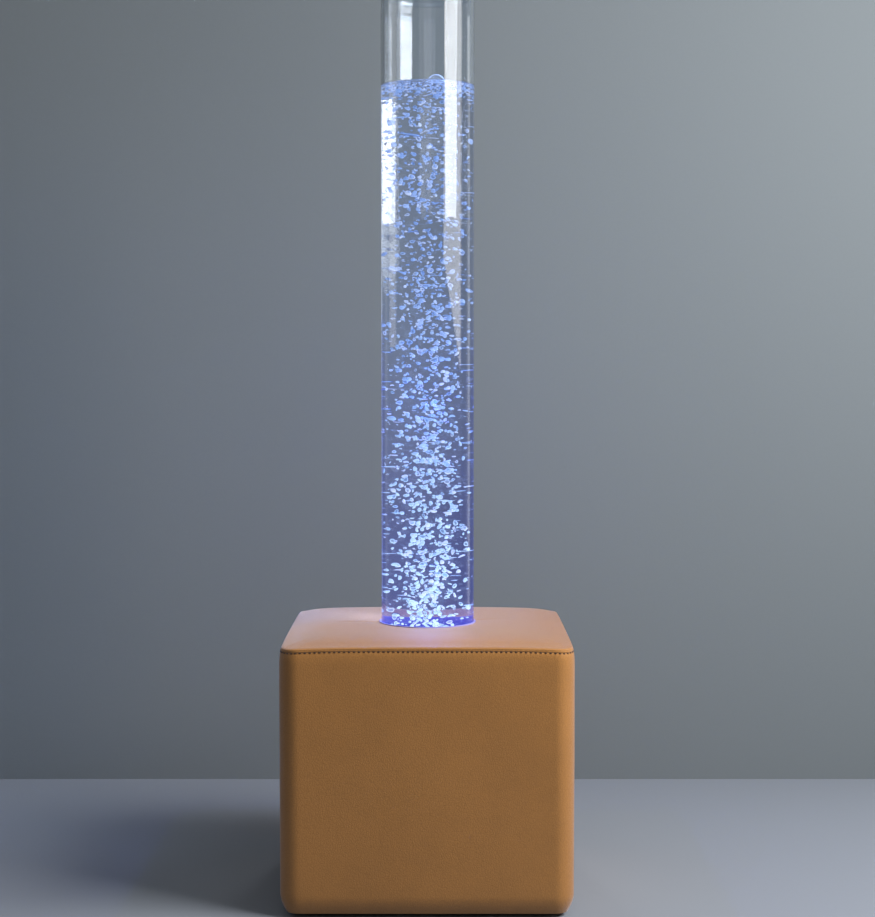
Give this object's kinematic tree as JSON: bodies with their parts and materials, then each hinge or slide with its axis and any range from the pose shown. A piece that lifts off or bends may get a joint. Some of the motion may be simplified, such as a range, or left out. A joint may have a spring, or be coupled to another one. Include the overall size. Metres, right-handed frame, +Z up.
{
  "type": "bubble tube floor lamp",
  "caption": "Clear upright water column with a lit foot, rising bubbles and a lift-off lid, standing in a square leather-covered plinth with its pump, drain valve and controls inside.",
  "frame": {"origin": "on the floor, under the tube's axis, at the middle of the plinth's footprint", "axes": "+Z up along the tube, +X to the right of someone who faces the front, +Y towards the back with the connection panel"},
  "size_m": [0.45, 0.45, 1.436],
  "materials": {
    "leather": "satin",
    "foam": "matte",
    "plywood": "matte",
    "acrylic": "polished",
    "water": "polished",
    "air_bubbles": "polished",
    "white_plastic": "satin",
    "black_plastic": "satin",
    "grey_plastic": "matte",
    "red_plastic": "gloss",
    "rubber": "matte",
    "steel": "satin",
    "brass": "satin",
    "copper_winding": "gloss",
    "heat_sink": "matte",
    "light_board": "satin",
    "lamps": "gloss",
    "circuit_board": "satin",
    "hose": "satin",
    "wire_sheath": "satin"
  },
  "bodies": {
    "stand": {"glides": "black_plastic", "frame_screws": "steel", "base_panel": "plywood", "front_panel": "plywood", "back_panel": "plywood", "side_panels": "plywood", "top_panel": "plywood", "corner_posts": "plywood", "shelf": "plywood", "shelf_battens": "plywood", "foam_front": "foam", "foam_back": "foam", "foam_sides": "foam", "foam_top": "foam", "cover_band": "leather", "cover_top": "leather", "socket_ring": "white_plastic", "tube_gasket": "rubber", "tube": "acrylic", "tube_liner": "white_plastic", "tube_plug": "acrylic", "inlet_port": "white_plastic", "port_nut": "white_plastic", "port_washer": "rubber", "air_diffuser": "white_plastic", "water": "water", "bubbles": "air_bubbles", "heat_sink": "heat_sink", "led_board": "light_board", "leds": "lamps", "tee": "white_plastic", "check_valve": "black_plastic", "air_hose": "hose", "drain_hose": "hose", "valve_body": "brass", "valve_cap": "brass", "valve_nut": "steel", "pump_base": "black_plastic", "pump_cover": "grey_plastic", "pump_feet": "rubber", "pump_core": "steel", "pump_coil": "copper_winding", "pump_diaphragm": "rubber", "pump_valve_box": "black_plastic", "controller_case": "black_plastic", "controller_lid": "black_plastic", "controller_board": "circuit_board", "connection_panel": "black_plastic", "panel_screws": "steel", "panel_nuts": "steel", "switch_frame": "black_plastic", "dc_inlet": "black_plastic", "button_body": "steel", "wiring": "wire_sheath"},
    "lid": {"lid": "acrylic"},
    "rocker": {"switch_rocker": "red_plastic"},
    "button": {"colour_button": "white_plastic"},
    "drain_key": {"valve_plug": "steel", "valve_knob": "black_plastic"},
    "pump_arm": {"pump_arm": "steel"}
  },
  "joints": [
    {"name": "lid_lift", "type": "slide", "parent": "stand", "child": "lid", "axis": [0, 0, 1], "range_m": [0, 0.06]},
    {"name": "switch_toggle", "type": "hinge", "parent": "stand", "child": "rocker", "pos_m": [-0.022, 0.2005, 0.095], "axis": [1, 0, 0], "range_deg": [-16, 0]},
    {"name": "colour_press", "type": "slide", "parent": "stand", "child": "button", "axis": [0, -1, 0], "range_m": [0, 0.0015], "stiffness_N_per_m": 300},
    {"name": "drain_turn", "type": "hinge", "parent": "stand", "child": "drain_key", "pos_m": [0.05, 0.175, 0.117], "axis": [0, 1, 0], "range_deg": [0, 90]},
    {"name": "pump_swing", "type": "hinge", "parent": "stand", "child": "pump_arm", "pos_m": [0.008, -0.073, 0.065], "axis": [0, 0, 1], "range_deg": [-1.2, 1.2], "stiffness_Nm_per_rad": 2}
  ]
}
